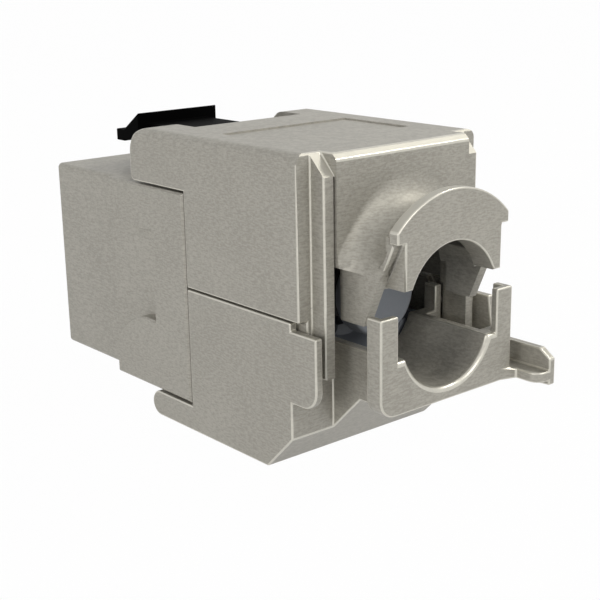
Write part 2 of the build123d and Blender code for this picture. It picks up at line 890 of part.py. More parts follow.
# Wire guides: one in each cover, grooved for the wires and open over the blades
upper_guide_base = block_top + guide_gap
lower_guide_top = block_base - guide_gap
guide_front = shoulder_rear + 2 * cover_gap + 1.2
for name, row_sign, near_z, far_z in (
    ("upper_wire_guide", 1, upper_guide_base, body_top - roof - fit),
    ("lower_wire_guide", -1, lower_guide_top, floor_thickness + fit),
):
    half_guide = (inner_half if row_sign > 0 else lower_cavity_width / 2) - guide_play
    with BuildPart() as wire_guide:
        block((-half_guide, half_guide), (guide_front, guide_rear), sorted((near_z, far_z)))
        if row_sign < 0:
            # The lower guide follows the slope of the tray
            foot = wire_guide.faces().sort_by(Axis.Z)[0].edges().sort_by(Axis.Y)[-1]
            chamfer(foot, guide_rear - slope_inner - floor_thickness + fit)
        fillet(wire_guide.edges().filter_by(Axis.Z), guide_corner)
        # Round mouth towards the neck
        with BuildSketch(cross_plane(guide_rear)):
            with Locations((0, upper_axis if row_sign > 0 else lower_axis)):
                Circle(upper_bore)
        extrude(amount=2.2, taper=30, mode=Mode.SUBTRACT)
        for blade_x, blade_y in blade_places:
            with BuildSketch(cross_plane(guide_rear + 1)):
                with Locations((blade_x, near_z)):
                    Circle(wire_radius)
            extrude(amount=guide_rear + 2 - guide_front, mode=Mode.SUBTRACT)
            pocket_span = sorted((near_z - row_sign, near_z + row_sign * (blade_rise + 0.3)))
            block(
                (blade_x - blade_width / 2 - 0.3, blade_x + blade_width / 2 + 0.3),
                (blade_y - swing_pocket, blade_y + blade_thickness + 0.3),
                pocket_span,
                Mode.SUBTRACT,
            )
    wire_guide.part.label = name
    export_step(wire_guide.part, f"parts/{name}.step")

export_step(front_housing.part, "parts/front_housing.step")
export_step(latch.part, "parts/latch.step")
export_step(upper_cover.part, "parts/upper_cover.step")
export_step(lower_cover.part, "parts/lower_cover.step")
export_step(lower_pin.part, "parts/lower_pin.step")
export_step(port_insert.part, "parts/port_insert.step")
export_step(circuit_board.part, "parts/circuit_board.step")
export_step(retainer_plate.part, "parts/retainer_plate.step")
export_step(contact_block.part, "parts/contact_block.step")
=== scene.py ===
"""Looks of a shielded keystone jack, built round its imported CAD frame."""

import logging
import math
from dataclasses import dataclass, field
from enum import Enum
from typing import Callable, Iterable, Sequence, Union

import bmesh
import bpy
from mathutils import Matrix, Vector


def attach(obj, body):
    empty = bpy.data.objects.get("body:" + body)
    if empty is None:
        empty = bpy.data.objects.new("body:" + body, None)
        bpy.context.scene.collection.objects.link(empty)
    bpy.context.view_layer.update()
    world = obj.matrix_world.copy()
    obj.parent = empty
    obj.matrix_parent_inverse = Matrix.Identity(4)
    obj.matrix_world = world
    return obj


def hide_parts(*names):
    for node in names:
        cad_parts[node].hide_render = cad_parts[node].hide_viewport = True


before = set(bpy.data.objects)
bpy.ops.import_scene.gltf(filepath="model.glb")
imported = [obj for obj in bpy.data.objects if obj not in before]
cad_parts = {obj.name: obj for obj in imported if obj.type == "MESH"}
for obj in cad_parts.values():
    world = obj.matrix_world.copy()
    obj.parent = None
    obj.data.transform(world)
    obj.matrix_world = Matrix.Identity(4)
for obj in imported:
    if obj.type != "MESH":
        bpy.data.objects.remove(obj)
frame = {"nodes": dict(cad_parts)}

LOG = logging.getLogger("keystone_jack")
MM = 0.001
IMAGE_SIDE = 600
Number = Union[int, float]
Triple = tuple[float, float, float]


class Coating(Enum):
    """Ways in which a surface answers light."""

    METAL = 1.0
    PLASTIC = 0.0


class Role(Enum):
    """Parts that an area lamp plays."""

    KEY = "key"
    FILL = "fill"
    RIM = "rim"


class Signal:
    """A shader socket whose arithmetic adds Math nodes."""

    def __init__(self, bench: "Bench", socket: bpy.types.NodeSocket) -> None:
        """Keep the socket and the bench that it grows on.

        Args:
            bench: The bench that owns the node tree.
            socket: The output socket that carries the value.
        """
        self.bench = bench
        self.socket = socket

    def _math(self, operation: str, *others: "Signal | Number", first: bool = True) -> "Signal":
        """Join this signal and others with one Math node.

        Args:
            operation: The Math node's operation.
            others: Further operands.
            first: Whether this signal is the first operand.

        Returns:
            The result as a signal.
        """
        operands = (self, *others) if first else (*others, self)
        return self.bench.node("ShaderNodeMath", {"operation": operation}, dict(enumerate(operands)))

    def __add__(self, other: "Signal | Number") -> "Signal":
        """Sum."""
        return self._math("ADD", other)

    __radd__ = __add__

    def __sub__(self, other: "Signal | Number") -> "Signal":
        """Difference."""
        return self._math("SUBTRACT", other)

    def __rsub__(self, other: Number) -> "Signal":
        """Difference from a number."""
        return self._math("SUBTRACT", other, first=False)

    def __mul__(self, other: "Signal | Number") -> "Signal":
        """Product."""
        return self._math("MULTIPLY", other)

    __rmul__ = __mul__

    def __truediv__(self, other: "Signal | Number") -> "Signal":
        """Quotient."""
        return self._math("DIVIDE", other)

    def clamped(self, low: float = 0.0, high: float = 1.0) -> "Signal":
        """Keep the value between two limits.

        Args:
            low: Lower limit.
            high: Upper limit.

        Returns:
            The limited signal.
        """
        return self._math("MAXIMUM", low)._math("MINIMUM", high)


class Bench:
    """One material's node tree and the single way to add nodes to it."""

    def __init__(self, name: str) -> None:
        """Start an empty material.

        Args:
            name: The material's name.
        """
        self.material = bpy.data.materials.new(name)
        self.material.use_nodes = True
        self.tree = self.material.node_tree
        self.tree.nodes.clear()

    @classmethod
    def of_tree(cls, tree: bpy.types.NodeTree) -> "Bench":
        """Work on an existing tree, such as the world's.

        Args:
            tree: The tree to clear and fill.

        Returns:
            A bench without a material.
        """
        bench = cls.__new__(cls)
        bench.material = None
        bench.tree = tree
        tree.nodes.clear()
        return bench

    def node(
        self,
        kind: str,
        settings: dict[str, object] | None = None,
        inputs: dict[object, object] | None = None,
        output: str | int = 0,
    ) -> Signal:
        """Add a node.

        Args:
            kind: The node's type.
            settings: Attributes set before the sockets; "stops" fills a colour ramp.
            inputs: Values or signals by socket name or number.
            output: The output to return.

        Returns:
            The chosen output as a signal.
        """
        made = self.tree.nodes.new(kind)
        for key, value in (settings or {}).items():
            if key == "stops":
                self._fill_ramp(made.color_ramp, value)
            else:
                setattr(made, key, value)
        for key, value in (inputs or {}).items():
            socket = made.inputs[key]
            if isinstance(value, Signal):
                self.tree.links.new(value.socket, socket)
            else:
                socket.default_value = value
        if not made.outputs:
            return Signal(self, None)
        return Signal(self, made.outputs[output])

    @staticmethod
    def _fill_ramp(ramp: bpy.types.ColorRamp, stops: Sequence[tuple[float, float]]) -> None:
        """Set a grey ramp's stops.

        Args:
            ramp: The ramp to fill.
            stops: Pairs of position and grey value.
        """
        while len(ramp.elements) < len(stops):
            ramp.elements.new(0.5)
        for element, (position, grey) in zip(ramp.elements, stops):
            element.position = position
            element.color = (grey, grey, grey, 1.0)

    def place(self, scale: Triple, turn: Triple = (0.0, 0.0, 0.0)) -> Signal:
        """Object coordinates, stretched.

        Args:
            scale: Stretch along each axis.
            turn: Turn about each axis in radians.

        Returns:
            The stretched coordinates.
        """
        where = self.node("ShaderNodeTexCoord", output="Object")
        return self.node("ShaderNodeMapping", {}, {"Vector": where, "Scale": scale, "Rotation": turn})

    def noise(self, where: Signal, scale: float, detail: float = 2.0, rough: float = 0.5) -> Signal:
        """Fractal noise about one half.

        Args:
            where: Coordinates.
            scale: Repeats per unit.
            detail: Octaves.
            rough: Weight of the finer octaves.

        Returns:
            The noise's factor.
        """
        sockets = {"Vector": where, "Scale": scale, "Detail": detail, "Roughness": rough}
        return self.node("ShaderNodeTexNoise", {}, sockets, "Fac")

    def tint(self, factor: Signal, dark: Triple, light: Triple) -> Signal:
        """Blend two colours.

        Args:
            factor: 0 for the dark colour, 1 for the light one.
            dark: First colour.
            light: Second colour.

        Returns:
            The blended colour.
        """
        settings = {"data_type": "RGBA", "clamp_factor": True}
        sockets = {0: factor, 6: (*dark, 1.0), 7: (*light, 1.0)}
        return self.node("ShaderNodeMix", settings, sockets, 2)

    def bump(self, height: Signal, strength: float, distance: float) -> Signal:
        """Surface normal from a height.

        Args:
            height: Height signal.
            strength: How much of the bump is used.
            distance: Size of one unit of height in metres.

        Returns:
            The bent normal.
        """
        return self.node("ShaderNodeBump", {}, {"Height": height, "Strength": strength, "Distance": distance})

    def finish(self, **sockets: object) -> bpy.types.Material:
        """Close the material with a Principled shader.

        Args:
            sockets: Principled inputs, with underscores for spaces.

        Returns:
            The finished material.
        """
        named = {key.replace("_", " "): value for key, value in sockets.items()}
        shader = self.node("ShaderNodeBsdfPrincipled", {}, named)
        self.node("ShaderNodeOutputMaterial", {}, {"Surface": shader})
        return self.material


@dataclass(frozen=True)
class SatinCasting:
    """Satin nickel on a die casting: a fine grain drawn along the jack and soft mottling."""

    name: str = "satin_nickel_casting"
    dark: Triple = (0.345, 0.329, 0.290)
    light: Triple = (0.445, 0.428, 0.382)
    metallic: float = 0.4
    roughness: float = 0.5
    grain: Triple = (2000.0, 2000.0, 9000.0)

    def build(self) -> bpy.types.Material:
        """Make the material.

        Returns:
            The satin nickel material.
        """
        bench = Bench(self.name)
        grain = bench.noise(bench.place(self.grain), 1.0, 3.0, 0.62)
        speckle = bench.noise(bench.place((1.0, 1.0, 1.0)), 5200.0, 2.0, 0.6)
        cloud = bench.noise(bench.place((1.0, 1.0, 1.0)), 190.0, 3.0, 0.5)
        tone = (3.9 * grain + 1.7 * speckle + 0.9 * cloud - 2.75).clamped()
        colour = bench.tint(tone, self.dark, self.light)
        rough = (self.roughness - 0.08 + 0.16 * grain).clamped()
        normal = bench.bump(0.7 * grain + 0.3 * speckle, 0.5, 0.00004)
        return bench.finish(
            Base_Color=colour, Metallic=self.metallic, Roughness=rough, Normal=normal
        )


@dataclass(frozen=True)
class PaintedHighlightNickel:
    """Lighter nickel with a painted highlight, laid on the edge roundings of the castings."""

    name: str = "nickel_edge_painted_highlight"
    dark: Triple = (0.46, 0.44, 0.39)
    light: Triple = (0.74, 0.72, 0.64)
    metallic: float = 0.6
    roughness: float = 0.3

    def build(self) -> bpy.types.Material:
        """Make the material.

        Returns:
            The painted highlight material.
        """
        bench = Bench(self.name)
        # Patches that vary the painted highlight's colour.
        highlight_patches = bench.noise(bench.place((1.0, 1.0, 1.0)), 420.0, 3.0, 0.6)
        fine = bench.noise(bench.place((2600.0, 700.0, 4200.0)), 1.0, 2.0, 0.6)
        colour = bench.tint((0.6 * highlight_patches + 0.5 * fine).clamped(), self.dark, self.light)
        rough = (self.roughness - 0.06 + 0.14 * fine).clamped()
        return bench.finish(Base_Color=colour, Metallic=self.metallic, Roughness=rough)


@dataclass(frozen=True)
class MouldedPlastic:
    """Injection-moulded plastic with a fine spark-eroded texture."""

    name: str
    dark: Triple
    light: Triple
    roughness: float = 0.45
    texture: float = 0.25
    specular: float = 0.5
    coating: Coating = Coating.PLASTIC

    def build(self) -> bpy.types.Material:
        """Make the material.

        Returns:
            The moulded plastic material.
        """
        bench = Bench(self.name)
        pits = bench.noise(bench.place((1.0, 1.0, 1.0)), 3600.0, 3.0, 0.6)
        cloud = bench.noise(bench.place((1.0, 1.0, 1.0)), 260.0, 2.0, 0.5)
        colour = bench.tint((0.5 * pits + 0.5 * cloud).clamped(), self.dark, self.light)
        rough = (self.roughness - 0.07 + 0.14 * pits).clamped()
        normal = bench.bump(pits, self.texture, 0.00002)
        return bench.finish(
            Base_Color=colour,
            Metallic=self.coating.value,
            Roughness=rough,
            Specular_IOR_Level=self.specular,
            Normal=normal,
        )


@dataclass(frozen=True)
class DrawnMetal:
    """Drawn or stamped metal with marks along its length."""

    name: str
    dark: Triple
    light: Triple
    stretch: Triple
    roughness: float = 0.28

    def build(self) -> bpy.types.Material:
        """Make the material.

        Returns:
            The drawn metal material.
        """
        bench = Bench(self.name)
        marks = bench.noise(bench.place(self.stretch), 1.0, 3.0, 0.6)
        colour = bench.tint(marks, self.dark, self.light)
        rough = (self.roughness - 0.06 + 0.14 * marks).clamped()
        normal = bench.bump(marks, 0.2, 0.00001)
        return bench.finish(
            Base_Color=colour, Metallic=Coating.METAL.value, Roughness=rough, Normal=normal
        )


@dataclass
class Finishes:
    """The jack's finishes, each made once."""

    casting: bpy.types.Material = field(init=False)
    edge: bpy.types.Material = field(init=False)
    chamfer: bpy.types.Material = field(init=False)
    black: bpy.types.Material = field(init=False)
    liner: bpy.types.Material = field(init=False)
    grey_block: bpy.types.Material = field(init=False)
    guide: bpy.types.Material = field(init=False)
    mask: bpy.types.Material = field(init=False)
    gold: bpy.types.Material = field(init=False)
    tin: bpy.types.Material = field(init=False)
    steel: bpy.types.Material = field(init=False)

    def __post_init__(self) -> None:
        """Build every material."""
        self.casting = SatinCasting().build()
        # Lighter nickel finishes: painted highlights on the edge roundings, and on the rear chamfers and saddle rim.
        self.edge = PaintedHighlightNickel().build()
        self.chamfer = PaintedHighlightNickel(
            "nickel_chamfer_painted_highlight", (0.47, 0.455, 0.40), (0.58, 0.56, 0.50), 0.4, 0.5
        ).build()
        self.black = MouldedPlastic(
            "black_latch_plastic", (0.0005, 0.0005, 0.0005), (0.002, 0.002, 0.002), 0.6, specular=0.015
        ).build()
        self.liner = MouldedPlastic("black_liner_plastic", (0.012, 0.012, 0.013), (0.026, 0.026, 0.028), 0.5).build()
        self.grey_block = MouldedPlastic("dark_block_plastic", (0.04, 0.04, 0.045), (0.06, 0.06, 0.066), 0.5).build()
        self.guide = MouldedPlastic("bluish_guide_plastic", (0.22, 0.24, 0.275), (0.28, 0.30, 0.34), 0.5).build()
        self.mask = MouldedPlastic("green_solder_mask", (0.012, 0.085, 0.035), (0.02, 0.12, 0.05), 0.28).build()
        self.gold = DrawnMetal("gold_contact_wire", (0.72, 0.50, 0.18), (0.88, 0.66, 0.30), (6000.0, 500.0, 6000.0), 0.22).build()
        self.tin = DrawnMetal("tinned_blade", (0.46, 0.46, 0.45), (0.60, 0.60, 0.58), (4000.0, 4000.0, 600.0), 0.34).build()
        self.steel = DrawnMetal("hinge_steel", (0.38, 0.37, 0.35), (0.52, 0.51, 0.49), (500.0, 5000.0, 5000.0), 0.3).build()


class Joining(Enum):
    """Ways in which a blank changes a casting."""

    ADD = "UNION"
    CUT = "DIFFERENCE"


class Blank:
    """A closed helper shape, in millimetres, that is joined to a casting or cut from it."""

    def __init__(self) -> None:
        """Start with nothing."""
        self.shape = bmesh.new()

    @classmethod
    def block(cls, x: Sequence[float], y: Sequence[float], z: Sequence[float]) -> "Blank":
        """Make a block.

        Args:
            x: Both ends across the jack.
            y: Both ends along the jack.
            z: Both ends in height.

        Returns:
            The block.
        """
        blank = cls()
        bmesh.ops.create_cube(blank.shape, size=1.0)
        ends = [sorted(pair) for pair in (x, y, z)]
        sizes = [high - low for low, high in ends]
        middle = Vector([(low + high) / 2 for low, high in ends])
        bmesh.ops.scale(blank.shape, vec=sizes, verts=blank.shape.verts)
        bmesh.ops.translate(blank.shape, vec=middle, verts=blank.shape.verts)
        return blank

    @classmethod
    def disc(cls, radius: float, axis_height: float, y: float, segments: int = 128) -> "Blank":
        """Make a flat disc that faces along the jack.

        Args:
            radius: Its radius.
            axis_height: Height of its centre.
            y: Its place along the jack.
            segments: Sides of its rim.

        Returns:
            The disc.
        """
        blank = cls()
        turn = Matrix.Rotation(math.radians(90), 4, "X")
        bmesh.ops.create_circle(blank.shape, cap_ends=True, radius=radius, segments=segments, matrix=turn)
        bmesh.ops.translate(blank.shape, vec=(0.0, y, axis_height), verts=blank.shape.verts)
        return blank

    def trimmed(self, point: Triple, outward: Triple, closed: bool = False) -> "Blank":
        """Cut away what lies beyond a plane and close the cut.

        Args:
            point: A point of the plane.
            outward: Its direction towards what goes.
            closed: Whether the cut through a solid is closed.

        Returns:
            This blank.
        """
        parts = [*self.shape.verts, *self.shape.edges, *self.shape.faces]
        cut = bmesh.ops.bisect_plane(
            self.shape, geom=parts, dist=1e-5, plane_co=point, plane_no=outward, clear_outer=True
        )
        rim = [part for part in cut["geom_cut"] if isinstance(part, bmesh.types.BMEdge)]
        if closed and rim:
            bmesh.ops.edgenet_fill(self.shape, edges=rim)
        return self

    def ringed(self, thickness: float) -> "Blank":
        """Leave only a rim of the flat face.

        Args:
            thickness: Width of the rim.

        Returns:
            This blank.
        """
        rim = bmesh.ops.inset_region(
            self.shape,
            faces=self.shape.faces[:],
            thickness=thickness,
            use_boundary=True,
            use_even_offset=True,
        )["faces"]
        inner = [face for face in self.shape.faces if face not in rim]
        bmesh.ops.delete(self.shape, geom=inner, context="FACES")
        return self

    def drawn(self, steps: Sequence[tuple[float, float, float, float, float]]) -> "Blank":
        """Draw the flat face along the jack, step by step.

        Args:
            steps: For each step its move along Y, its move in Z, its stretch in X and in Z, and the
                height that stays still.

        Returns:
            This blank.
        """
        faces = self.shape.faces[:]
        for count, (along, rise, wide, tall, still) in enumerate(steps):
            passed = faces
            grown = bmesh.ops.extrude_face_region(self.shape, geom=faces)["geom"]
            faces = [part for part in grown if isinstance(part, bmesh.types.BMFace)]
            if count:
                left = [face for face in passed if face.is_valid]
                bmesh.ops.delete(self.shape, geom=left, context="FACES")
            verts = list({vert for face in faces for vert in face.verts})
            centre = Matrix.Translation((0.0, 0.0, -still))
            bmesh.ops.scale(self.shape, vec=(wide, 1.0, tall), space=centre, verts=verts)
            bmesh.ops.translate(self.shape, vec=(0.0, along, rise), verts=verts)
        return self

    def mesh(self, name: str) -> bpy.types.Mesh:
        """Finish the blank.

        Args:
            name: The mesh's name.

        Returns:
            The mesh in metres, with its faces outwards.
        """
        loose = [edge for edge in self.shape.edges if not edge.link_faces]
        bmesh.ops.delete(self.shape, geom=loose, context="EDGES")
        bmesh.ops.recalc_face_normals(self.shape, faces=self.shape.faces)
        bmesh.ops.scale(self.shape, vec=(MM, MM, MM), verts=self.shape.verts)
        made = bpy.data.meshes.new(name)
        self.shape.to_mesh(made)
        self.shape.free()
        return made


def carved(mesh: bpy.types.Mesh, work: Sequence[tuple[Joining, Blank]]) -> bpy.types.Mesh:
    """Join blanks to a closed mesh and cut others from it.

    Args:
        mesh: The casting's merged mesh.
        work: Pairs of a joining and its blank, in order.

    Returns:
        The changed mesh.
    """
    link = bpy.context.scene.collection.objects.link
    host = bpy.data.objects.new("carving_host", mesh)
    link(host)
    tools = []
    for joining, blank in work:
        tool = bpy.data.objects.new("carving_tool", blank.mesh("carving_tool"))
        link(tool)
        tools.append(tool)
        step = host.modifiers.new("carving", "BOOLEAN")
        step.operation = joining.value
        step.solver = "EXACT"
        step.object = tool
    bpy.context.view_layer.update()
    seen = host.evaluated_get(bpy.context.evaluated_depsgraph_get())
    result = bpy.data.meshes.new_from_object(seen)
    for scrap in (host, *tools):
        bpy.data.objects.remove(scrap)
    return result


class Workshop:
    """Shared ways to carry CAD nodes into finished pieces."""

    plain_weight = 0.32

    def __init__(self, nodes: dict[str, bpy.types.Object], finishes: Finishes) -> None:
        """Keep the frame's nodes and the finishes.

        Args:
            nodes: CAD nodes by name.
            finishes: The jack's finishes.
        """
        self.nodes = nodes
        self.finishes = finishes

    def dress(self, names: Iterable[str], material: bpy.types.Material) -> None:
        """Give CAD nodes a material and leave their shape.

        Args:
            names: Nodes to dress.
            material: Their finish.
        """
        for name in names:
            slots = self.nodes[name].data.materials
            slots.clear()
            slots.append(material)
            LOG.info("dressed %s with %s", name, material.name)

    def broken_edges(
        self,
        node: str,
        body: str,
        slot: str,
        material: bpy.types.Material,
        width: float,
        segments: int = 3,
        angle: float = 32.0,
        edge: bpy.types.Material | None = None,
        highlight_finish: bpy.types.Material | None = None,
        work: Sequence[tuple[Joining, Blank]] = (),
        spared: Callable[[Vector], bool] | None = None,
        bold: Callable[[Vector], bool] | None = None,
        shaping: Callable[[bmesh.types.BMesh], None] | None = None,
    ) -> bpy.types.Object:
        """Copy a CAD node, join its faces and round its edges as casting leaves them.

        Args:
            node: The node that the piece stands for.
            body: The body that it rides on.
            slot: Name of a material slot; not used.
            material: Its finish.
            width: Width of the rounding in millimetres.
            segments: Facets across the rounding.
            angle: Least angle of a rounded edge in degrees.
            edge: Finish of the rounding, where it differs: a lighter finish that paints a highlight along the edges.
            highlight_finish: Finish of the faces that the last shaping marks.
            work: Blanks that are joined to the node's shape or cut from it first.
            spared: Tells whether the edge at a place in millimetres stays sharp.
            bold: Tells whether the edge at a place in millimetres is rounded wider.
            shaping: Last change of the merged shape before its edges are rounded.

        Returns:
            The finished piece.
        """
        mesh = self.nodes[node].data.copy()
        shape = bmesh.new()
        shape.from_mesh(mesh)
        bmesh.ops.remove_doubles(shape, verts=shape.verts, dist=0.002 * MM)
        if work:
            shape.to_mesh(mesh)
            shape.clear()
            mesh = carved(mesh, work)
            shape.from_mesh(mesh)
            bmesh.ops.remove_doubles(shape, verts=shape.verts, dist=0.01 * MM)
            bmesh.ops.dissolve_degenerate(shape, edges=shape.edges, dist=0.02 * MM)
        mesh.name = f"{node}_finished"
        bmesh.ops.dissolve_limit(
            shape,
            angle_limit=math.radians(0.6),
            verts=shape.verts,
            edges=shape.edges,
            use_dissolve_boundaries=False,
            delimit={"NORMAL"},
        )
        for face in shape.faces:
            face.smooth = True
        weights = shape.edges.layers.float.new("bevel_weight_edge")
        for crease in shape.edges:
            if crease.is_manifold and crease.calc_face_angle(0.0) > math.radians(angle):
                crease.smooth = False
                middle = (crease.verts[0].co + crease.verts[1].co) / (2.0 * MM)
                wide = bold is not None and bold(middle)
                crease[weights] = 0.0 if spared and spared(middle) else (1.0 if wide else self.plain_weight)
        if shaping:
            shaping(shape)
        mesh.materials.clear()
        shape.to_mesh(mesh)
        shape.free()
        mesh.materials.append(material)
        piece = bpy.data.objects.new(f"{node}_finished", mesh)
        bpy.context.scene.collection.objects.link(piece)
        bevel = piece.modifiers.new("rounding", "BEVEL")
        bevel.width = width / self.plain_weight * MM
        bevel.segments = segments
        bevel.limit_method = "WEIGHT"
        bevel.use_clamp_overlap = not work
        bevel.harden_normals = True
        # The rounding's own finish paints a highlight along the edges.
        if edge is not None:
            mesh.materials.append(edge)
            bevel.material = 1
        # A second finish paints a highlight on the faces that the last shaping marks.
        if highlight_finish is not None:
            mesh.materials.append(highlight_finish)
        if work:
            level = piece.modifiers.new("flat_faces", "WEIGHTED_NORMAL")
            level.keep_sharp = True
        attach(piece, body)
        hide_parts(node)
        LOG.info("finished %s on %s", piece.name, body)
        return piece


@dataclass
class UpperCoverShape:
    """Rear corners, half neck and flared root of the upper cover, in millimetres."""

    half_body: float = 8.45
    rebate_inner: float = 7.27
    rebate_front: float = 10.4
    rear_face: float = 11.75
    panel_face: float = 11.9
    panel_base: float = 15.2
    seam: float = 11.35
    axis: float = 12.5
    radius: float = 6.0
    half_width: float = 5.5
    wall: float = 0.5
    skirt_front: float = 11.3
    end_low: float = 13.57
    end_high: float = 16.14
    flange_base: float = 17.2
    flange_front: float = 15.69
    leg_half: float = 4.62
    shell: float = 0.75
    brace: float = 1.4
    root_wall: float = 1.5
    flange_half: float = 5.27
    flare_length: float = 2.4
    flare_wide: float = 0.8
    flare_lift: float = 0.3
    flare_tall: float = 2.4
    label_floor: float = 22.4
    label_half: float = 6.2
    label_rear: float = 6.5
    slope_share: float = 0.6
    rim_axis: float = 12.88
    rim_radius: float = 7.38
    groove: float = 6.38
    groove_reach: float = 0.12
    roof: float = 21.6
    sunk: float = 0.04
    steps: int = 10

    def shoulder(self) -> float:
        """Height at which the round arch meets its upright skirts."""
        return self.axis + math.sqrt(self.radius**2 - self.half_width**2)

    def neck(self) -> Blank:
        """Arch with upright skirts, cut on a slant towards the flange."""
        blank = Blank.disc(self.radius, self.axis, self.skirt_front)
        for side in (-1.0, 1.0):
            blank.trimmed((side * self.half_width, 0.0, 0.0), (side, 0.0, 0.0))
        blank.trimmed((0.0, 0.0, self.seam - self.shell), (0.0, 0.0, -1.0))
        blank.ringed(self.shell).trimmed((0.0, 0.0, self.seam), (0.0, 0.0, -1.0))
        blank.drawn([(self.end_high - self.skirt_front, 0.0, 1.0, 1.0, 0.0)])
        slant = (0.0, self.flange_base - self.seam, self.end_low - self.end_high)
        return blank.trimmed((0.0, self.end_low, self.seam), slant, closed=True)

    def flare(self) -> Blank:
        """Arch that widens into the rear panel."""
        shoulder = self.shoulder() - 2.0 * self.sunk
        blank = Blank.disc(self.radius - self.sunk, self.axis, self.panel_face + self.flare_length)
        blank.trimmed((0.0, 0.0, shoulder - self.wall), (0.0, 0.0, -1.0))
        blank.ringed(self.wall).trimmed((0.0, 0.0, shoulder), (0.0, 0.0, -1.0))
        tall = self.axis + self.radius - self.sunk - shoulder
        turns = [math.radians(90.0 * step / self.steps) for step in range(self.steps, -1, -1)]
        places = [(self.flare_length * (1.0 - math.cos(turn)), 1.0 - math.sin(turn)) for turn in turns]
        places.append((-self.wall, 1.0))
        moves = []
        for (y0, spread0), (y1, spread1) in zip(places, places[1:]):
            wide0, wide1 = (self.half_width + self.flare_wide * spread for spread in (spread0, spread1))
            tall0, tall1 = (tall + (self.flare_tall - self.flare_lift) * spread for spread in (spread0, spread1))
            base0, base1 = (shoulder + self.flare_lift * spread for spread in (spread0, spread1))
            moves.append((y1 - y0, base1 - base0, wide1 / wide0, tall1 / tall0, base0))
        return blank.drawn(moves)

    def root(self) -> Blank:
        """Swelling of the arch that carries the corners of the flange."""
        start = self.radius - self.sunk
        blank = Blank.disc(start, self.axis, self.flange_front - self.brace)
        blank.ringed(self.root_wall).trimmed((0.0, 0.0, self.axis + self.sunk), (0.0, 0.0, -1.0))
        turns = [math.radians(90.0 * step / self.steps) for step in range(self.steps + 1)]
        places = [(self.brace * math.sin(turn), start + self.brace * (1.0 - math.cos(turn))) for turn in turns]
        moves = [(y1 - y0, 0.0, r1 / r0, r1 / r0, self.axis) for (y0, r0), (y1, r1) in zip(places, places[1:])]
        moves.append((self.shell / 2.0, 0.0, 1.0, 1.0, 0.0))
        blank.drawn(moves)
        for side in (-1.0, 1.0):
            blank.trimmed((side * self.flange_half, 0.0, 0.0), (side, 0.0, 0.0), closed=True)
        blank.trimmed((0.0, 0.0, self.shoulder()), (0.0, 0.0, -1.0), closed=True)
        slant = (0.0, self.flange_base - self.seam, self.end_low - self.end_high)
        return blank.trimmed((0.0, self.end_high, self.flange_base), slant, closed=True)

    def work(self) -> list[tuple[Joining, Blank]]:
        """List what is joined to the cover and cut from it.

        Returns:
            Pairs of a joining and its blank, in order.
        """
        jobs = []
        for side in (-1.0, 1.0):
            post = (side * (self.rebate_inner - 1.1), side * (self.half_body - self.wall))
            gap = (side * (self.half_width - 1.2 * self.wall), side * (self.half_width + 1.6 * self.wall))
            skirt = (side * self.leg_half, side * (self.half_width + self.wall))
            rebate = (side * self.rebate_inner, side * (self.half_body + 1.0))
            jobs += [
                (Joining.ADD, Blank.block(post, (self.rebate_front - 1.1, self.rebate_front + 0.4), (self.seam, 21.6))),
                (Joining.CUT, Blank.block(rebate, (self.rebate_front, self.rear_face + 1.0), (0.0, 24.0))),
                (Joining.CUT, Blank.block(gap, (self.rebate_front - 1.5, self.skirt_front), (0.0, self.panel_base))),
                (Joining.CUT, self.wedge(skirt)),
            ]
        jobs += [(Joining.ADD, self.neck()), (Joining.ADD, self.flare()), (Joining.ADD, self.root())]
        return jobs

    def spared(self, place: Vector) -> bool:
        """Keep the creases round the neck and beside the panel sharp.

        Args:
            place: Middle of an edge.

        Returns:
            Whether the edge stays as it is.
        """
        groove = abs(abs(place.x) - self.groove) < self.groove_reach and place.y > self.skirt_front
        neck = abs(place.x) < self.groove and self.skirt_front < place.y < self.flange_front - 0.02
        inside = place.y < self.flange_front - 0.02 and abs(place.x) < self.rebate_inner - 0.02 and place.z < self.roof
        corner = abs(place.x) > self.rebate_inner - 0.1 and place.y > self.rebate_front - 0.4 and place.z > self.roof - 0.9
        label = place.z > self.label_floor and abs(place.x) < self.label_half and place.y < self.label_rear
        return groove or (neck and place.z < self.roof) or inside or corner or label

    def paint_highlight_faces(self, shape: bmesh.types.BMesh) -> None:
        """Give the painted highlight finish to the rear chamfers and the saddle's outer rim.

        Args:
            shape: The cover's merged shape.
        """
        for face in shape.faces:
            middle = face.calc_center_median() / MM
            chamfer = min(face.normal.y, face.normal.z) > self.slope_share and middle.z > self.roof - 1.0
            reach = math.hypot(middle.x, middle.z - self.rim_axis)
            rim = abs(reach - self.rim_radius) < self.sunk * 3.0 and abs(face.normal.y) < self.sunk
            if chamfer or (rim and middle.y > self.flange_front):
                # These faces get the painted highlight finish.
                face.material_index = 2

    def wedge(self, x: Sequence[float]) -> Blank:
        """Block behind the slanted end of a skirt.

        Args:
            x: Both ends across the jack.

        Returns:
            The trimmed block.
        """
        blank = Blank.block(x, (self.end_low - 0.5, self.end_high + 1.0), (self.seam - 0.5, self.flange_base))
        slant = (0.0, self.seam - self.flange_base, self.end_high - self.end_low)
        return blank.trimmed((0.0, self.end_low, self.seam), slant, closed=True)


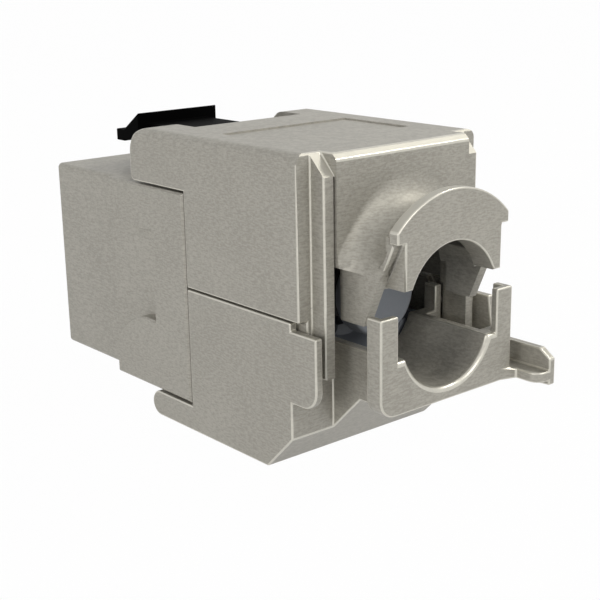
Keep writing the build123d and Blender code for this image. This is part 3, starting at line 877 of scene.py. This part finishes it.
@dataclass
class Castings:
    """The three die castings."""

    workshop: Workshop
    rounding: float = 0.12
    plate_cut: float = 0.6
    saddle_face: float = 16.15
    saddle_half: float = 4.4
    saddle_base: float = 6.0
    plate_zone: Triple = (7.5, 11.2, 5.3)

    def build(self) -> None:
        """Round and dress the castings."""
        cover = UpperCoverShape()
        for node, body, extras in (
            ("front_housing", "housing", {}),
            ("upper_cover", "upper_cover_group", {
                "work": cover.work(),
                "spared": cover.spared,
                "shaping": cover.paint_highlight_faces,
                "highlight_finish": self.workshop.finishes.chamfer,
            }),
            ("lower_cover", "lower_cover_group", {"shaping": self.shorten_plate, "bold": self.saddle_rim}),
        ):
            # Roundings carry a painted edge highlight; the upper cover's rear chamfers and saddle rim carry a painted
            # highlight too.
            self.workshop.broken_edges(
                node,
                body,
                "nickel_casting",
                self.workshop.finishes.casting,
                self.rounding,
                edge=self.workshop.finishes.edge,
                **extras,
            )

    def saddle_rim(self, place: Vector) -> bool:
        """Find the rim of the lower saddle and its outer corners, whose wider rounding carries a wider painted
        highlight.

        Args:
            place: Middle of an edge.

        Returns:
            Whether the edge is rounded wider.
        """
        return place.y > self.saddle_face - 0.05 and abs(place.x) < self.saddle_half and place.z > self.saddle_base

    def shorten_plate(self, shape: bmesh.types.BMesh) -> None:
        """Bring the rear edge of the near side plate forward.

        Args:
            shape: The lower cover's merged shape.
        """
        low = [MM * value for value in self.plate_zone]
        moved = [v for v in shape.verts if all(v.co[i] > low[i] for i in range(3))]
        bmesh.ops.translate(shape, vec=(0.0, -self.plate_cut * MM, 0.0), verts=moved)


@dataclass
class Plastics:
    """The moulded pieces: latch, port insert, contact block and wire guides."""

    workshop: Workshop
    rounding: float = 0.07
    boss_radius: float = 3.1
    boss_axis: float = 11.7
    boss_front: float = 7.9
    boss_rear: float = 9.7

    def build(self) -> None:
        """Round and dress the moulded pieces."""
        finishes = self.workshop.finishes
        self.workshop.broken_edges("latch", "latch_arm", "black_plastic", finishes.black, self.rounding, 2)
        self.workshop.dress(["port_insert"], finishes.liner)
        self.workshop.dress(["contact_block", "retainer_plate"], finishes.grey_block)
        self.workshop.dress(["circuit_board"], finishes.mask)
        for node, body in (
            ("upper_wire_guide", "upper_cover_group"),
            ("lower_wire_guide", "lower_cover_group"),
        ):
            self.workshop.broken_edges(node, body, "guide_plastic", finishes.guide, self.rounding, 2)
        self.divider(finishes.guide)

    def divider(self, material: bpy.types.Material) -> None:
        """Add the round boss behind the upper wire guide that spreads the cable's pairs.

        Args:
            material: Its finish.
        """
        blank = Blank.disc(self.boss_radius, self.boss_axis, self.boss_rear)
        blank.drawn([(self.boss_front - self.boss_rear, 0.0, 1.0, 1.0, 0.0)])
        piece = bpy.data.objects.new("wire_divider", blank.mesh("wire_divider"))
        bpy.context.scene.collection.objects.link(piece)
        piece.data.materials.append(material)
        for face in piece.data.polygons:
            face.use_smooth = True
        rounding = piece.modifiers.new("rounding", "BEVEL")
        rounding.width = 4.0 * self.rounding * MM
        rounding.segments = 4
        rounding.limit_method = "ANGLE"
        rounding.harden_normals = True
        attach(piece, "upper_cover_group")


@dataclass
class MetalParts:
    """Contacts, wire blades, ground springs and hinge pins."""

    workshop: Workshop
    ways: int = 8
    blades_per_row: int = 4

    def build(self) -> None:
        """Dress the small metal parts."""
        finishes = self.workshop.finishes
        contacts = [f"plug_contact_{way + 1}" for way in range(self.ways)]
        blades = [f"{row}_wire_blade_{n + 1}" for row in ("upper", "lower") for n in range(self.blades_per_row)]
        self.workshop.dress(contacts, finishes.gold)
        self.workshop.dress(blades, finishes.tin)
        self.workshop.dress(
            ["ground_spring_left", "ground_spring_right", "upper_pin_left", "upper_pin_right", "lower_pin"],
            finishes.steel,
        )


@dataclass
class Studio:
    """Pale floor, plain soft light and the camera at the photograph's angle."""

    azimuth: float = 140.053
    elevation: float = 15.884
    roll: float = -1.026
    focal_pixels: float = 1210.47
    eye: Triple = (57.725, 69.422, 34.943)
    target: Triple = (0.0, -2.0, 11.0)
    world_light: float = 0.74
    zenith_drop: float = 0.72
    glossy_white: float = 1.0
    floor_white: float = 0.985
    floor_gap: float = 0.02

    def build(self) -> None:
        """Set up the view, the camera, the floor and the lamps."""
        scene = bpy.context.scene
        scene.view_settings.view_transform = "Standard"
        self._camera(scene)
        self._floor()
        self._world(scene)
        self._lamp(Role.KEY, (-0.1, 0.84, 0.53), 260.0, 110.0, 0.65, (1.0, 0.985, 0.93))
        self._lamp(Role.FILL, (0.95, 0.25, 0.2), 320.0, 90.0, 0.75, (1.0, 0.985, 0.95))
        self._lamp(Role.RIM, (-0.617, 0.274, 0.737), 300.0, 60.0, 0.85, (1.0, 0.98, 0.9))

    def _camera(self, scene: bpy.types.Scene) -> None:
        """Place the camera.

        Args:
            scene: The scene that looks through it.
        """
        azimuth, elevation, roll = (math.radians(v) for v in (self.azimuth, self.elevation, self.roll))
        back = Vector(
            (
                math.sin(azimuth) * math.cos(elevation),
                -math.cos(azimuth) * math.cos(elevation),
                math.sin(elevation),
            )
        )
        level = Vector((math.cos(azimuth), math.sin(azimuth), 0.0))
        rise = back.cross(level)
        right = level * math.cos(roll) + rise * math.sin(roll)
        up = rise * math.cos(roll) - level * math.sin(roll)
        data = bpy.data.cameras.new("studio_camera")
        data.sensor_width = 36.0
        data.lens = self.focal_pixels / IMAGE_SIDE * data.sensor_width
        data.clip_start = 0.001
        data.clip_end = 20.0
        camera = bpy.data.objects.new("studio_camera", data)
        scene.collection.objects.link(camera)
        turn = Matrix((right, up, back)).transposed().to_4x4()
        camera.matrix_world = Matrix.Translation(Vector(self.eye) * MM) @ turn
        scene.camera = camera

    def _floor(self) -> None:
        """Lay a pale floor that reads as white to metal, keeps a shadow and shows what hangs below it."""
        drop = Matrix.Translation((0.0, 0.0, -self.floor_gap * MM))
        shape = bmesh.new()
        bmesh.ops.create_grid(shape, x_segments=1, y_segments=1, size=1.5, matrix=drop)
        mesh = bpy.data.meshes.new("studio_floor")
        shape.to_mesh(mesh)
        shape.free()
        bench = Bench("pale_floor")
        seen = bench.node("ShaderNodeLightPath", output="Is Camera Ray")
        glossy = bench.node("ShaderNodeLightPath", output="Is Glossy Ray")
        through = bench.node("ShaderNodeLightPath", output="Is Transmission Ray")
        paint = bench.node("ShaderNodeBsdfDiffuse", {}, {"Color": (0.8, 0.8, 0.8, 1.0)})
        white = bench.node("ShaderNodeEmission", {}, {"Color": (1.0, 1.0, 1.0, 1.0), "Strength": 1.0})
        clear = bench.node("ShaderNodeBsdfTransparent", {}, {"Color": (1.0, 1.0, 1.0, 1.0)})
        share = (glossy * self.floor_white + through).clamped()
        pale = bench.node("ShaderNodeMixShader", {}, {0: share, 1: paint, 2: white})
        mixed = bench.node("ShaderNodeMixShader", {}, {0: seen * self.floor_white, 1: pale, 2: clear})
        bench.node("ShaderNodeOutputMaterial", {}, {"Surface": mixed})
        mesh.materials.append(bench.material)
        floor = bpy.data.objects.new("studio_floor", mesh)
        bpy.context.scene.collection.objects.link(floor)

    def _world(self, scene: bpy.types.Scene) -> None:
        """Light the scene evenly and show white behind it.

        Args:
            scene: The scene to light.
        """
        world = bpy.data.worlds.new("studio_world")
        world.use_nodes = True
        bench = Bench.of_tree(world.node_tree)
        seen = bench.node("ShaderNodeLightPath", output="Is Camera Ray")
        glossy = bench.node("ShaderNodeLightPath", output="Is Glossy Ray")
        through = bench.node("ShaderNodeLightPath", output="Is Transmission Ray")
        white = (1.0, 1.0, 1.0, 1.0)
        way = bench.node("ShaderNodeTexCoord", output="Generated")
        height = bench.node("ShaderNodeSeparateXYZ", {}, {"Vector": way}, "Z").clamped()
        level = self.world_light - self.zenith_drop * height
        soft = bench.node("ShaderNodeBackground", {}, {"Color": white, "Strength": level})
        plain_white = bench.node("ShaderNodeBackground", {}, {"Color": white, "Strength": 1.0})
        share = (seen + glossy * self.glossy_white + through).clamped()
        mixed = bench.node("ShaderNodeMixShader", {}, {0: share, 1: soft, 2: plain_white})
        bench.node("ShaderNodeOutputWorld", {}, {"Surface": mixed})
        scene.world = world

    def _lamp(
        self, role: Role, aim: Triple, distance: float, size: float, light: float, colour: Triple
    ) -> None:
        """Hang an area lamp that looks at the jack.

        Args:
            role: What the lamp is for.
            aim: Direction from the jack to the lamp.
            distance: Its distance in millimetres.
            size: Its side in millimetres.
            light: Irradiance that it gives at the jack, where 3.14 shows a colour as written.
            colour: Its colour.
        """
        data = bpy.data.lights.new(f"{role.value}_lamp", "AREA")
        data.shape = "SQUARE"
        data.size = size * MM
        data.energy = light * math.pi * (distance * MM) ** 2
        data.color = colour
        lamp = bpy.data.objects.new(f"{role.value}_lamp", data)
        bpy.context.scene.collection.objects.link(lamp)
        way = Vector(aim).normalized()
        lamp.location = (Vector(self.target) + way * distance) * MM
        lamp.rotation_euler = way.to_track_quat("Z", "Y").to_euler()


def main() -> None:
    """Build the studio and dress the jack."""
    logging.basicConfig(level=logging.INFO, format="%(name)s: %(message)s")
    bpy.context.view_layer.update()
    finishes = Finishes()
    workshop = Workshop(frame["nodes"], finishes)
    Studio().build()
    Castings(workshop).build()
    Plastics(workshop).build()
    MetalParts(workshop).build()


if __name__ == "__main__":
    main()
